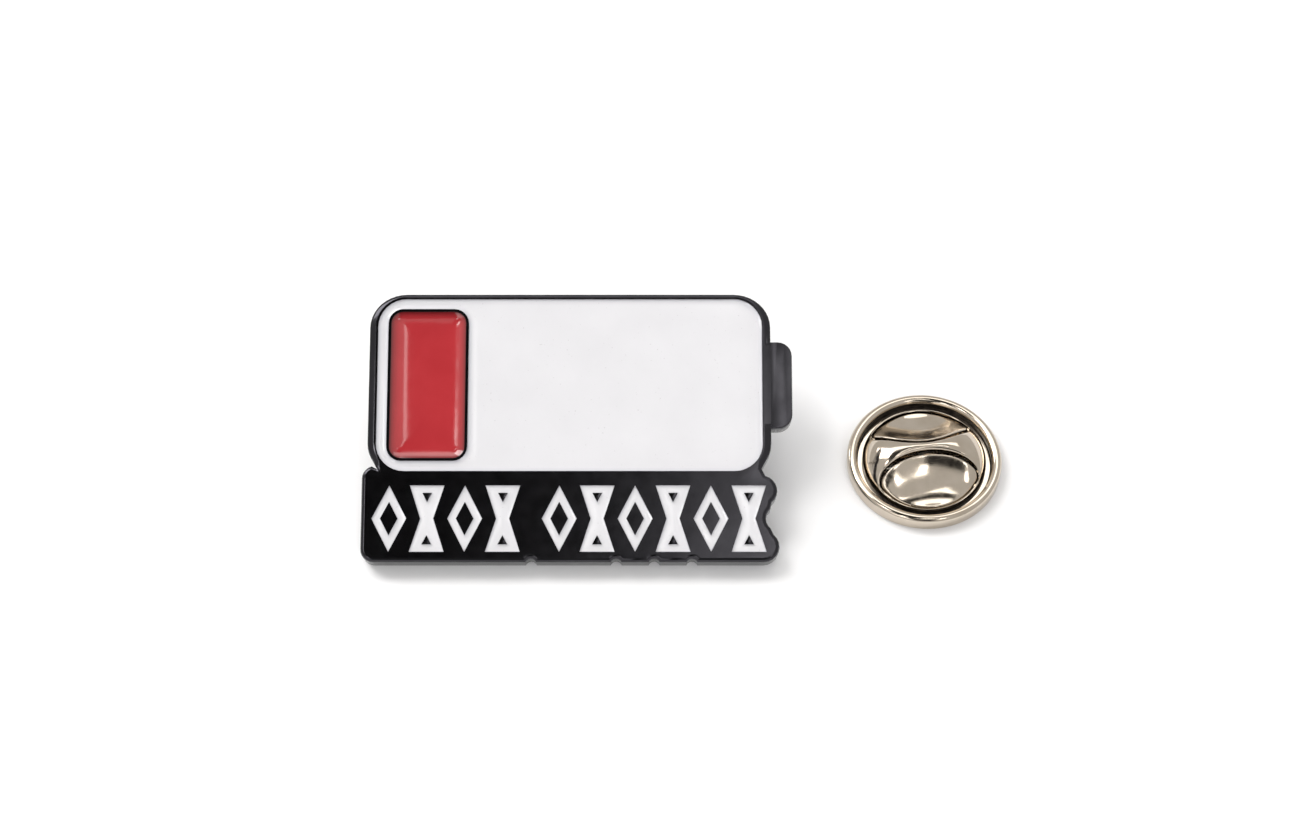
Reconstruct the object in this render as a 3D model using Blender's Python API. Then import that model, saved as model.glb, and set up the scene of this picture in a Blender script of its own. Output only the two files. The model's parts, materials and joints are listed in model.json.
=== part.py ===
"""Enamel pin: a battery-shaped badge on a tack post, with its butterfly clutch lying beside it.

Metres, +Z up, table at z = 0, +X to the badge's right and +Y away from the reader.
The badge leans back on its bottom edge and the tip of its post. The clutch lies flat, wings up.
The badge is modelled in its own frame: x along the battery from its centre, y up the badge from
its bottom edge, z out of the picture from the back face. The clutch is modelled about its own
upright axis, with its ridge along x.
"""

import math

import bmesh
import bpy
from mathutils import Matrix, Vector

MM = 0.001

# Badge plate
PLATE_THICK = 1.8 * MM
EDGE_ROUND = 0.3 * MM
BATTERY_WIDTH = 29.05 * MM
BATTERY_HEIGHT = 13.73 * MM
BATTERY_CORNER = 2.5 * MM
BANNER_HEIGHT = 6.27 * MM
BANNER_CORNER = 0.95 * MM
LEFT_OVERHANG = 0.58 * MM
UPPER_LOBE_OVERHANG = 0.62 * MM
LOWER_LOBE_OVERHANG = 0.75 * MM
LOBE_RADIUS = 1.15 * MM
WAIST_RADIUS = 0.9 * MM
WAIST_INSET = 0.22 * MM
CORNER_SHOWN_DEG = 34
JUNCTION_DEPTH = 0.5 * MM
SCALLOP_DEPTH = 0.28 * MM
SCALLOP_HALF_WIDTH = 0.4 * MM
TERMINAL_DEPTH = 1.68 * MM
TERMINAL_SHOULDER = 3.615 * MM
TERMINAL_CORNER = 1.05 * MM
TERMINAL_STEP = 0.12 * MM

# Enamel: how deep each cell is, how far the fill stops below the metal, and its seat clearance
CELL_DEPTH = 0.5 * MM
FILL_DROP = 0.12 * MM
FILL_GAP = 0.02 * MM
BORDER = 0.4 * MM
CHARGE_WIDTH = 5.9 * MM
CHARGE_INSET = 1.17 * MM
CHARGE_CORNER = 1.06 * MM
CHARGE_WALL = 0.2 * MM

# Banner ornament: a frieze of lozenges and hourglasses, four and then six
SYMBOL_COUNT = 10
FIRST_GROUP = 4
SYMBOL_SPACING = 0.22 * MM
GROUP_GAP = 1.35 * MM
FRIEZE_SIDE_MARGIN = 0.2 * MM
FRIEZE_FOOT = 0.72 * MM
FRIEZE_HEADROOM = 1.05 * MM
SYMBOL_STROKE = 0.56 * MM
HOURGLASS_WAIST = 0.95 * MM
SCALLOPS_AFTER = (4, 6, 7, 8)

# Tack post, soldered to the back
POST_BELOW_TOP = 4.5 * MM
POST_LENGTH = 6.5 * MM
POST_RADIUS = 0.55 * MM
POST_TIP_LENGTH = 1.2 * MM
POST_TIP_RADIUS = 0.06 * MM
GROOVE_FROM_BACK = 4.8 * MM
GROOVE_WIDTH = 0.55 * MM
GROOVE_DEPTH = 0.13 * MM
PAD_RADIUS = 2.25 * MM
PAD_THICK = 0.4 * MM
PAD_SEAT_DEPTH = 0.2 * MM
SOLDER_WIDTH = 0.9 * MM
SOLDER_PROUD = 0.12 * MM
SEAT_GAP = 0.03 * MM

# Clutch
CLUTCH_RADIUS = 5.75 * MM
CLUTCH_FLOOR = 0.4 * MM
RIM_WIDTH = 0.75 * MM
RIM_HEIGHT = 1.25 * MM
POST_HOLE_CLEARANCE = 0.15 * MM
MOAT = 0.4 * MM
CAP_RING = 0.25 * MM
SHEET = 0.3 * MM
CAP_EDGE_RISE = 0.6 * MM
RIDGE_RISE = 1.8 * MM
RIDGE_HALF_WIDTH = 0.32 * MM
RIDGE_END_HALF_WIDTH = 2.53 * MM
SLOPE_POWER = 1.3
WINDOW_CORNER = 0.85 * MM
WING_SLOT = 0.3 * MM
WING_FOOT_GAP = 0.1 * MM
WING_SUNK = 0.05 * MM
WING_DISH = 0.42 * MM
HINGE_INSET = 0.2 * MM
WIRE_RADIUS = 0.25 * MM
WIRE_ABOVE_FLOOR = 0.35 * MM
GRIP_GAP = 0.02 * MM
SPRING_BEND_INSET = 1.6 * MM
SPRING_LEG_INSET = 1.4 * MM
SPRING_JOINT_GAP = 0.04 * MM

# Where the clutch lies: its gap to the terminal, and how far behind the badge's resting edge
CLUTCH_GAP = 4.35 * MM
CLUTCH_BEHIND = 8.8 * MM
CLUTCH_TURN = math.radians(6)

# Derived sizes
BADGE_HEIGHT = BANNER_HEIGHT + BATTERY_HEIGHT
HALF_BATTERY = BATTERY_WIDTH / 2
TERMINAL_TIP = HALF_BATTERY + TERMINAL_DEPTH
TERMINAL_HEIGHT = BATTERY_HEIGHT - 2 * TERMINAL_SHOULDER
CELL_FLOOR = PLATE_THICK - CELL_DEPTH
FILL_FLOOR = CELL_FLOOR + FILL_GAP
FILL_TOP = PLATE_THICK - FILL_DROP
FRIEZE_WIDTH = BATTERY_WIDTH - 2 * FRIEZE_SIDE_MARGIN
SYMBOL_PITCH = (FRIEZE_WIDTH - GROUP_GAP + SYMBOL_SPACING) / SYMBOL_COUNT
SYMBOL_WIDTH = SYMBOL_PITCH - SYMBOL_SPACING
SYMBOL_HEIGHT = BANNER_HEIGHT + BORDER - FRIEZE_FOOT - FRIEZE_HEADROOM
FRIEZE_MIDDLE = FRIEZE_FOOT + SYMBOL_HEIGHT / 2
POST_ON_BADGE = BADGE_HEIGHT - POST_BELOW_TOP
LEAN = math.atan2(POST_LENGTH, POST_ON_BADGE - POST_TIP_RADIUS)
GROOVE_RADIUS = POST_RADIUS - GROOVE_DEPTH
POST_HOLE_RADIUS = POST_RADIUS + POST_HOLE_CLEARANCE
CAP_SEAT = CLUTCH_FLOOR + SEAT_GAP
CAP_RADIUS = CLUTCH_RADIUS - RIM_WIDTH - MOAT
CAP_EDGE_HEIGHT = CLUTCH_FLOOR + CAP_EDGE_RISE
RIDGE_HEIGHT = CAP_EDGE_HEIGHT + RIDGE_RISE
RIDGE_FLARE = RIDGE_END_HALF_WIDTH - RIDGE_HALF_WIDTH
RIDGE_FLARE_RADIUS = (CAP_RADIUS ** 2 + RIDGE_FLARE ** 2) / (2 * RIDGE_FLARE)
WINDOW_RADIUS = CAP_RADIUS - CAP_RING
WING_HINGE_Y = WINDOW_RADIUS - WING_FOOT_GAP - HINGE_INSET
WING_HINGE_Z = CAP_EDGE_HEIGHT - WING_SUNK - SHEET / 2
WIRE_HEIGHT = CLUTCH_FLOOR + WIRE_ABOVE_FLOOR + WIRE_RADIUS
LEG_OFFSET = GROOVE_RADIUS - GRIP_GAP + WIRE_RADIUS
SPRING_BEND_X = SPRING_BEND_INSET - CAP_RADIUS
SPRING_LEG_END_X = CAP_RADIUS - SPRING_LEG_INSET
CLUTCH_RIGHT = TERMINAL_TIP + CLUTCH_GAP + CLUTCH_RADIUS

CUT_MARGIN = 1.0 * MM


# ---------------------------------------------------------------- flat outlines

def arc(centre_x, centre_y, radius, start_deg, end_deg, steps):
    """Points along an arc, both ends included."""
    points = []
    for i in range(steps + 1):
        angle = math.radians(start_deg + (end_deg - start_deg) * i / steps)
        points.append((centre_x + radius * math.cos(angle), centre_y + radius * math.sin(angle)))
    return points


def rounded_box(left, bottom, right, top, corner, steps=6):
    """A rectangle with round corners, anticlockwise."""
    return (
        arc(right - corner, bottom + corner, corner, -90, 0, steps)
        + arc(right - corner, top - corner, corner, 0, 90, steps)
        + arc(left + corner, top - corner, corner, 90, 180, steps)
        + arc(left + corner, bottom + corner, corner, 180, 270, steps)
    )


def inset(outline, distance):
    """The same anticlockwise outline moved inwards, its corners mitred."""
    moved = []
    count = len(outline)
    for i in range(count):
        before = Vector(outline[i - 1])
        here = Vector(outline[i])
        after = Vector(outline[(i + 1) % count])
        into = (here - before).normalized().orthogonal()
        out_of = (after - here).normalized().orthogonal()
        moved.append(tuple(here + distance * (into + out_of) / (1 + into.dot(out_of))))
    return moved


def symbol_centres():
    """The middle of each ornament along the banner, in two groups."""
    first = (SYMBOL_WIDTH - FRIEZE_WIDTH) / 2
    centres = []
    for i in range(SYMBOL_COUNT):
        past_gap = GROUP_GAP if i >= FIRST_GROUP else 0
        centres.append(first + i * SYMBOL_PITCH + past_gap)
    return centres


def scallop(x):
    """A small bite in the bottom edge, left to right."""
    below = (SCALLOP_HALF_WIDTH ** 2 - SCALLOP_DEPTH ** 2) / (2 * SCALLOP_DEPTH)
    radius = below + SCALLOP_DEPTH
    start = math.degrees(math.atan2(below, -SCALLOP_HALF_WIDTH))
    return arc(x, -below, radius, start, 180 - start, 6)


def plate_outline():
    """The badge's whole silhouette, anticlockwise from the banner's bottom left corner."""
    centres = symbol_centres()
    left = -HALF_BATTERY - LEFT_OVERHANG
    points = arc(left + BANNER_CORNER, BANNER_CORNER, BANNER_CORNER, 180, 270, 6)
    for number in SCALLOPS_AFTER:
        points += scallop((centres[number - 1] + centres[number]) / 2)
    points += right_end_of_banner()
    points += battery_and_terminal()
    points += arc(
        left + BANNER_CORNER, junction_height() - JUNCTION_DEPTH - BANNER_CORNER * 0.75,
        BANNER_CORNER, 105, 180, 6)
    return points


def junction_height():
    """Where the banner's top meets the battery's lower corners."""
    return BANNER_HEIGHT + BATTERY_CORNER * (1 - math.sin(math.radians(CORNER_SHOWN_DEG)))


def right_end_of_banner():
    """Two lobes with a waist between them, bottom to top."""
    lower_x = HALF_BATTERY + LOWER_LOBE_OVERHANG - LOBE_RADIUS
    upper_x = HALF_BATTERY + UPPER_LOBE_OVERHANG - LOBE_RADIUS
    waist_x = HALF_BATTERY - WAIST_INSET + WAIST_RADIUS
    upper_y = junction_height() - JUNCTION_DEPTH - LOBE_RADIUS * 1.4
    waist_y = (LOBE_RADIUS + upper_y) / 2
    return (
        arc(lower_x, LOBE_RADIUS, LOBE_RADIUS, -90, 50, 8)
        + arc(waist_x, waist_y, WAIST_RADIUS, 230, 130, 6)
        + arc(upper_x, upper_y, LOBE_RADIUS, -50, 75, 8)
    )


def battery_and_terminal():
    """The battery's outline from its lower right junction round to its lower left one."""
    side = HALF_BATTERY - BATTERY_CORNER
    low = BANNER_HEIGHT + BATTERY_CORNER
    high = BADGE_HEIGHT - BATTERY_CORNER
    middle = BANNER_HEIGHT + BATTERY_HEIGHT / 2
    tip = TERMINAL_TIP
    junction_x = HALF_BATTERY - JUNCTION_DEPTH
    junction_y = junction_height() - JUNCTION_DEPTH
    terminal = [
        (HALF_BATTERY, middle - TERMINAL_HEIGHT / 2),
        *arc(tip - TERMINAL_CORNER, middle - TERMINAL_HEIGHT / 2 + TERMINAL_CORNER,
             TERMINAL_CORNER, -90, 0, 6),
        *arc(tip - TERMINAL_CORNER, middle + TERMINAL_HEIGHT / 2 - TERMINAL_CORNER,
             TERMINAL_CORNER, 0, 90, 6),
        (HALF_BATTERY, middle + TERMINAL_HEIGHT / 2),
    ]
    return (
        [(junction_x, junction_y)]
        + arc(side, low, BATTERY_CORNER, -CORNER_SHOWN_DEG, 0, 4)
        + terminal
        + arc(side, high, BATTERY_CORNER, 0, 90, 10)
        + arc(-side, high, BATTERY_CORNER, 90, 180, 10)
        + arc(-side, low, BATTERY_CORNER, 180, 180 + CORNER_SHOWN_DEG, 4)
        + [(-junction_x, junction_y)]
    )


def lozenge(x):
    """A diamond on the banner's middle line, anticlockwise."""
    y = FRIEZE_MIDDLE
    half = SYMBOL_WIDTH / 2
    reach = SYMBOL_HEIGHT / 2
    return [(x, y - reach), (x + half, y), (x, y + reach), (x - half, y)]


def hourglass(x):
    """Two triangles joined at a narrow waist, anticlockwise."""
    low = FRIEZE_FOOT
    high = FRIEZE_FOOT + SYMBOL_HEIGHT
    middle = FRIEZE_MIDDLE
    half = SYMBOL_WIDTH / 2
    waist = HOURGLASS_WAIST / 2
    return [
        (x - half, low), (x + half, low), (x + waist, middle),
        (x + half, high), (x - half, high), (x - waist, middle),
    ]


def symbol_outline(number, x):
    """Lozenges at the odd places, hourglasses at the even ones."""
    if number % 2:
        return lozenge(x)
    return hourglass(x)


def symbol_islands(number, x):
    """The bare metal left standing inside an ornament, one outline for each island."""
    outline = symbol_outline(number, x)
    if number % 2:
        return [inset(outline, SYMBOL_STROKE)]
    low_right = outline[1]
    low_left = outline[0]
    high_right = outline[3]
    high_left = outline[4]
    apex = (x, outline[2][1])
    return [
        inset([low_left, low_right, apex], SYMBOL_STROKE),
        inset([high_right, high_left, apex], SYMBOL_STROKE),
    ]


def charge_outline(shrink=0.0):
    """The red cell: the outside of its metal wall, moved inwards by shrink."""
    left = -HALF_BATTERY + CHARGE_INSET
    bottom = BANNER_HEIGHT + CHARGE_INSET
    top = BADGE_HEIGHT - CHARGE_INSET
    return rounded_box(
        left + shrink, bottom + shrink, left + CHARGE_WIDTH - shrink, top - shrink,
        CHARGE_CORNER - shrink)


def field_outline(shrink=0.0):
    """The white field inside the battery's border, moved inwards by shrink."""
    edge = BORDER + shrink
    return rounded_box(
        -HALF_BATTERY + edge, BANNER_HEIGHT + edge, HALF_BATTERY - edge, BADGE_HEIGHT - edge,
        BATTERY_CORNER - edge, 8)


def window_outline(foot_gap=0.0, ridge_gap=0.0):
    """The D-shaped window in front of the clutch's ridge: where the round cap and a large circle
    that touches the ridge's side overlap, with round corners. The gaps move its round side and
    its ridge side inwards."""
    outer = WINDOW_RADIUS - foot_gap
    inner = RIDGE_FLARE_RADIUS - ridge_gap
    corner = WINDOW_CORNER - ridge_gap
    inner_y = -RIDGE_HALF_WIDTH - RIDGE_FLARE_RADIUS
    corner_y = ((inner - corner) ** 2 - (outer - corner) ** 2 - inner_y ** 2) / (-2 * inner_y)
    corner_x = math.sqrt((outer - corner) ** 2 - corner_y ** 2)
    outer_deg = math.degrees(math.atan2(corner_y, corner_x))
    inner_deg = math.degrees(math.atan2(corner_y - inner_y, corner_x))
    return (
        arc(0, 0, outer, -180 - outer_deg, outer_deg, 20)
        + arc(corner_x, corner_y, corner, outer_deg, inner_deg, 6)[1:]
        + arc(0, inner_y, inner, inner_deg, 180 - inner_deg, 12)[1:]
        + arc(-corner_x, corner_y, corner, 180 - inner_deg, 180 - outer_deg, 6)[1:-1]
    )


# ---------------------------------------------------------------- solids

def mesh_object(name, bm):
    """A new object from a bmesh, its faces turned outwards and shaded round except at edges."""
    bmesh.ops.recalc_face_normals(bm, faces=bm.faces)
    mesh = bpy.data.meshes.new(name)
    bm.to_mesh(mesh)
    bm.free()
    mesh.shade_smooth()
    mesh.set_sharp_from_angle(angle=math.radians(35))
    piece = bpy.data.objects.new(name, mesh)
    bpy.context.collection.objects.link(piece)
    return piece


def stacked(name, loops):
    """A solid through loops of equal length, closed at both ends."""
    bm = bmesh.new()
    rings = [[bm.verts.new(point) for point in loop] for loop in loops]
    for low, high in zip(rings, rings[1:]):
        for i in range(len(low)):
            bm.faces.new((low[i - 1], low[i], high[i], high[i - 1]))
    bm.faces.new(reversed(rings[0]))
    bm.faces.new(rings[-1])
    return mesh_object(name, bm)


def prism(name, outline, bottom, top):
    """An outline given a height."""
    return stacked(name, [[(x, y, z) for x, y in outline] for z in (bottom, top)])


def turned(name, profile, steps=48):
    """A closed profile of (radius, height) points turned about the upright axis."""
    bm = bmesh.new()
    rings = []
    for radius, height in profile:
        if radius == 0:
            rings.append([bm.verts.new((0, 0, height))] * steps)
            continue
        rings.append([bm.verts.new((x, y, height)) for x, y in arc(0, 0, radius, 0, 360, steps)[:-1]])
    for low, high in zip(rings, rings[1:] + rings[:1]):
        for i in range(steps):
            corners = list(dict.fromkeys((low[i - 1], low[i], high[i], high[i - 1])))
            if len(corners) > 2:
                bm.faces.new(corners)
    return mesh_object(name, bm)


def apply_cut(piece, cutters, operation="DIFFERENCE"):
    """Cuts the cutters out of a piece, or joins them on, and removes them."""
    for cutter in cutters:
        boolean = piece.modifiers.new("cut", "BOOLEAN")
        boolean.operation = operation
        boolean.object = cutter
    evaluated = piece.evaluated_get(bpy.context.evaluated_depsgraph_get())
    mesh = bpy.data.meshes.new_from_object(evaluated)
    piece.modifiers.clear()
    piece.data = mesh
    mesh.shade_smooth()
    mesh.set_sharp_from_angle(angle=math.radians(35))
    for cutter in cutters:
        bpy.data.objects.remove(cutter)
    return piece


def dished_sheet(name, outline, centre, height_at, thickness, rings=5):
    """A sheet over an outline, its top following height_at(x, y), the same thickness all over."""
    bm = bmesh.new()

    def surface(lower):
        loops = []
        for k in range(rings, 0, -1):
            share = k / rings
            loop = []
            for x, y in outline:
                px = centre[0] + (x - centre[0]) * share
                py = centre[1] + (y - centre[1]) * share
                loop.append(bm.verts.new((px, py, height_at(px, py) - lower)))
            loops.append(loop)
        middle = bm.verts.new((*centre, height_at(*centre) - lower))
        for outer, inner in zip(loops, loops[1:]):
            for i in range(len(outer)):
                bm.faces.new((outer[i - 1], outer[i], inner[i], inner[i - 1]))
        for i in range(len(outline)):
            bm.faces.new((loops[-1][i - 1], loops[-1][i], middle))
        return loops[0]

    top_edge = surface(0)
    bottom_edge = surface(thickness)
    for i in range(len(outline)):
        bm.faces.new((top_edge[i - 1], top_edge[i], bottom_edge[i], bottom_edge[i - 1]))
    return mesh_object(name, bm)


def place(piece, parent, origin=(0, 0, 0)):
    """Parents a piece modelled in its parent's frame, with the piece's own origin where given."""
    piece.data.transform(Matrix.Translation(-Vector(origin)))
    piece.location = origin
    piece.parent = parent
    return piece


def empty(name, location, rotation=(0, 0, 0), parent=None):
    """An empty that holds pieces."""
    holder = bpy.data.objects.new(name, None)
    holder.location = location
    holder.rotation_euler = rotation
    holder.parent = parent
    bpy.context.collection.objects.link(holder)
    return holder


# ---------------------------------------------------------------- materials

def principled(name, colour, roughness, metallic, coat=0.0):
    """A material from a display colour of 0 to 255."""
    material = bpy.data.materials.new(name)
    material.use_nodes = True
    shader = material.node_tree.nodes["Principled BSDF"]
    linear = [(c / 255) ** 2.2 for c in colour]
    shader.inputs["Base Color"].default_value = (*linear, 1)
    shader.inputs["Roughness"].default_value = roughness
    shader.inputs["Metallic"].default_value = metallic
    shader.inputs["Coat Weight"].default_value = coat
    return material


def black_nickel():
    return principled("black_nickel", (56, 55, 60), 0.28, 1.0)


def white_enamel():
    return principled("white_enamel", (246, 245, 249), 0.22, 0.0, 0.5)


def red_enamel():
    return principled("red_enamel", (195, 64, 70), 0.2, 0.0, 0.6)


def bright_nickel():
    return principled("bright_nickel", (190, 180, 170), 0.12, 1.0)


def solder():
    return principled("solder", (150, 150, 152), 0.45, 1.0)


def spring_steel():
    return principled("spring_steel", (160, 158, 155), 0.25, 1.0)


# ---------------------------------------------------------------- badge

def badge_plate(badge):
    """Die-struck plate: round front edge, sunk cells for the enamel, seat for the post's pad."""
    outline = plate_outline()
    loops = [[(x, y, 0) for x, y in outline]]
    for step in range(4):
        angle = math.radians(30 * step)
        height = PLATE_THICK - EDGE_ROUND * (1 - math.sin(angle))
        shrunk = inset(outline, EDGE_ROUND * (1 - math.cos(angle)))
        loops.append([(x, y, height) for x, y in shrunk])
    plate = stacked("badge_plate", loops)
    apply_cut(plate, [field_cutter(), charge_cutter(), terminal_cutter(), pad_cutter()])
    apply_cut(plate, symbol_cutters())
    plate.data.materials.append(black_nickel())
    return place(plate, badge)


def field_cutter():
    """The white field's cell, leaving the red cell and its wall standing."""
    top = PLATE_THICK + CUT_MARGIN
    cutter = prism("field_cutter", field_outline(), CELL_FLOOR, top)
    island = prism("island", charge_outline(), CELL_FLOOR - CUT_MARGIN, top + CUT_MARGIN)
    return apply_cut(cutter, [island])


def charge_cutter():
    return prism("charge_cutter", charge_outline(CHARGE_WALL), CELL_FLOOR, PLATE_THICK + CUT_MARGIN)


def terminal_cutter():
    """Lowers the terminal's face a little below the battery's border."""
    middle = BANNER_HEIGHT + BATTERY_HEIGHT / 2
    low = middle - TERMINAL_HEIGHT / 2 - CUT_MARGIN
    high = middle + TERMINAL_HEIGHT / 2 + CUT_MARGIN
    right = TERMINAL_TIP + CUT_MARGIN
    corners = [(HALF_BATTERY, low), (right, low), (right, high), (HALF_BATTERY, high)]
    return prism("terminal_cutter", corners, PLATE_THICK - TERMINAL_STEP, PLATE_THICK + CUT_MARGIN)


def pad_cutter():
    """A shallow round seat in the back for the post's pad and the solder round it."""
    radius = PAD_RADIUS + SOLDER_WIDTH + 2 * SEAT_GAP
    circle = arc(0, POST_ON_BADGE, radius, 0, 360, 48)[:-1]
    return prism("pad_cutter", circle, -CUT_MARGIN, PAD_SEAT_DEPTH)


def symbol_cutters():
    """A cell for each ornament."""
    cutters = []
    for number, x in enumerate(symbol_centres(), 1):
        outline = symbol_outline(number, x)
        cutter = prism("symbol_cutter", outline, CELL_FLOOR, PLATE_THICK + CUT_MARGIN)
        cutters.append(leave_islands(cutter, number, x, 0))
    return cutters


def leave_islands(piece, number, x, grow):
    """Takes an ornament's metal islands out of its cell or its fill."""
    islands = []
    for outline in symbol_islands(number, x):
        islands.append(prism("island", inset(outline, -grow), 0, PLATE_THICK + 2 * CUT_MARGIN))
    return apply_cut(piece, islands)


def white_field_enamel(badge):
    """The white fill round the red cell."""
    fill = prism("white_field_enamel", field_outline(FILL_GAP), FILL_FLOOR, FILL_TOP)
    apply_cut(fill, [prism("island", charge_outline(-FILL_GAP), 0, PLATE_THICK + CUT_MARGIN)])
    fill.data.materials.append(white_enamel())
    return place(fill, badge)


def red_cell_enamel(badge):
    """The red fill inside its thin metal wall."""
    fill = prism("red_cell_enamel", charge_outline(CHARGE_WALL + FILL_GAP), FILL_FLOOR, FILL_TOP)
    fill.data.materials.append(red_enamel())
    return place(fill, badge)


def banner_inlays(badge):
    """One white fill for each ornament."""
    for number, x in enumerate(symbol_centres(), 1):
        outline = inset(symbol_outline(number, x), FILL_GAP)
        inlay = prism(f"banner_inlay_{number:02d}", outline, FILL_FLOOR, FILL_TOP)
        leave_islands(inlay, number, x, FILL_GAP)
        inlay.data.materials.append(white_enamel())
        place(inlay, badge, (x, FRIEZE_MIDDLE, 0))


def tack_post(badge):
    """Pad, shank with the clutch's groove, and a long sharp tip, turned in one piece."""
    pad_face = PAD_SEAT_DEPTH - SEAT_GAP
    shoulder = POST_LENGTH - POST_TIP_LENGTH
    groove_start = GROOVE_FROM_BACK - GROOVE_WIDTH / 2
    groove_end = GROOVE_FROM_BACK + GROOVE_WIDTH / 2
    slope = POST_RADIUS - GROOVE_RADIUS
    profile = [
        (0, pad_face),
        (PAD_RADIUS, pad_face),
        (PAD_RADIUS, pad_face - PAD_THICK),
        (POST_RADIUS * 1.5, pad_face - PAD_THICK),
        (POST_RADIUS, pad_face - PAD_THICK - POST_RADIUS / 2),
        (POST_RADIUS, -groove_start),
        (GROOVE_RADIUS, -groove_start - slope),
        (GROOVE_RADIUS, -groove_end + slope),
        (POST_RADIUS, -groove_end),
        (POST_RADIUS, -shoulder),
        (POST_TIP_RADIUS, -POST_LENGTH),
        (0, -POST_LENGTH),
    ]
    post = turned("tack_post", profile, 32)
    post.data.materials.append(bright_nickel())
    post.data.transform(Matrix.Translation((0, POST_ON_BADGE, 0)))
    return place(post, badge, (0, POST_ON_BADGE, 0))


def solder_fillet(badge):
    """The ring of solder that fills the seat round the pad, highest against the pad."""
    inner = PAD_RADIUS + SEAT_GAP
    outer = inner + SOLDER_WIDTH
    top = PAD_SEAT_DEPTH - SEAT_GAP
    rise = top + SOLDER_PROUD
    profile = [
        (inner, top),
        (inner, top - rise),
        (inner + SOLDER_WIDTH * 0.3, top - rise * 0.7),
        (inner + SOLDER_WIDTH * 0.65, top - rise * 0.45),
        (outer, top - rise * 0.3),
        (outer, top),
    ]
    ring = turned("solder_fillet", profile)
    ring.data.materials.append(solder())
    ring.data.transform(Matrix.Translation((0, POST_ON_BADGE, 0)))
    return place(ring, badge, (0, POST_ON_BADGE, 0))


# ---------------------------------------------------------------- clutch

def clutch_base(clutch):
    """Round floor with the post's hole and a rolled rim."""
    roll = RIM_WIDTH / 2
    middle = CLUTCH_RADIUS - roll
    foot = RIM_HEIGHT / 5
    roll_arc = arc(middle, RIM_HEIGHT - roll, roll, 0, 180, 8)
    profile = [
        (POST_HOLE_RADIUS, 0),
        (CLUTCH_RADIUS - foot, 0),
        (CLUTCH_RADIUS - foot * 0.3, foot * 0.3),
        (CLUTCH_RADIUS, foot),
        *roll_arc,
        (CLUTCH_RADIUS - RIM_WIDTH, CLUTCH_FLOOR),
        (POST_HOLE_RADIUS, CLUTCH_FLOOR),
    ]
    base = turned("clutch_base", profile, 64)
    base.data.materials.append(bright_nickel())
    return place(base, clutch)


def flare(x):
    """Half the ridge's width at x."""
    side = RIDGE_FLARE_RADIUS
    return RIDGE_HALF_WIDTH + side - math.sqrt(max(side ** 2 - x ** 2, 0))


def down_slope(x, y):
    """How far down the slope a point lies, from 0 at the ridge's side to 1 at the cap's edge."""
    return min(max(abs(y) - flare(x), 0) / (CAP_RADIUS - RIDGE_HALF_WIDTH), 1)


def tent(x, y):
    """The cap's overall form: a level ridge, rounded down at its ends, with a slope each side."""
    share = min(math.hypot(x, y) / CAP_RADIUS, 1)
    peak = (RIDGE_HEIGHT - CAP_EDGE_HEIGHT) * (1 - share ** 4)
    return CAP_EDGE_HEIGHT + peak * (1 - down_slope(x, y)) ** SLOPE_POWER


def cap_height(x, y):
    """Height of the cap's top: the tent, with the ridge bar crowned across its width."""
    across = min(abs(y) / max(flare(x), SHEET), 1)
    return tent(x, y) - SHEET * across ** 2 / 2


def clutch_bridge(clutch):
    """Pressed cap: an edge ring and an hourglass ridge across it, with a window on each side."""
    circle = arc(0, 0, CAP_RADIUS, 0, 360, 64)[:-1]
    bm = bmesh.new()
    shells = []
    for shrink in (0, SHEET):
        radius = CAP_RADIUS - shrink
        rings = [[bm.verts.new((x * radius / CAP_RADIUS, y * radius / CAP_RADIUS, CAP_SEAT))
                  for x, y in circle]]
        for k in range(10, 0, -1):
            share = k / 10 * radius / CAP_RADIUS
            rings.append([bm.verts.new((x * share, y * share, cap_height(x * share, y * share) - shrink))
                          for x, y in circle])
        top = bm.verts.new((0, 0, cap_height(0, 0) - shrink))
        for outer, inner in zip(rings, rings[1:]):
            for i in range(len(circle)):
                bm.faces.new((outer[i - 1], outer[i], inner[i], inner[i - 1]))
        for i in range(len(circle)):
            bm.faces.new((rings[-1][i - 1], rings[-1][i], top))
        shells.append(rings[0])
    outer, inner = shells
    for i in range(len(circle)):
        bm.faces.new((outer[i - 1], outer[i], inner[i], inner[i - 1]))
    bridge = mesh_object("clutch_bridge", bm)
    front = prism("window_cutter", window_outline(), 0, RIDGE_HEIGHT + CUT_MARGIN)
    rear = prism("window_cutter", window_outline(), 0, RIDGE_HEIGHT + CUT_MARGIN)
    rear.data.transform(Matrix.Rotation(math.pi, 4, "Z"))
    apply_cut(bridge, [front, rear])
    bridge.data.materials.append(bright_nickel())
    return place(bridge, clutch)


def wing_height(x, y):
    """Top of a wing: flush with the cap round its edge and scooped for a fingertip inside it."""
    down = down_slope(x, y)
    scoop = WING_DISH * 4 * down * (1 - down) * max(1 - (x / WINDOW_RADIUS) ** 2, 0)
    return tent(x, y) - WING_SUNK - scoop


def wing(name, hinge):
    """A pressed finger scoop, modelled as the front one about its hinge at the rim."""
    centre = (0, -(WINDOW_RADIUS + RIDGE_HALF_WIDTH) / 2)
    scoop = dished_sheet(name, window_outline(WING_FOOT_GAP, WING_SLOT), centre, wing_height, SHEET)
    scoop.data.transform(Matrix.Translation((0, WING_HINGE_Y, -WING_HINGE_Z)))
    scoop.data.materials.append(bright_nickel())
    return place(scoop, hinge)


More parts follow.
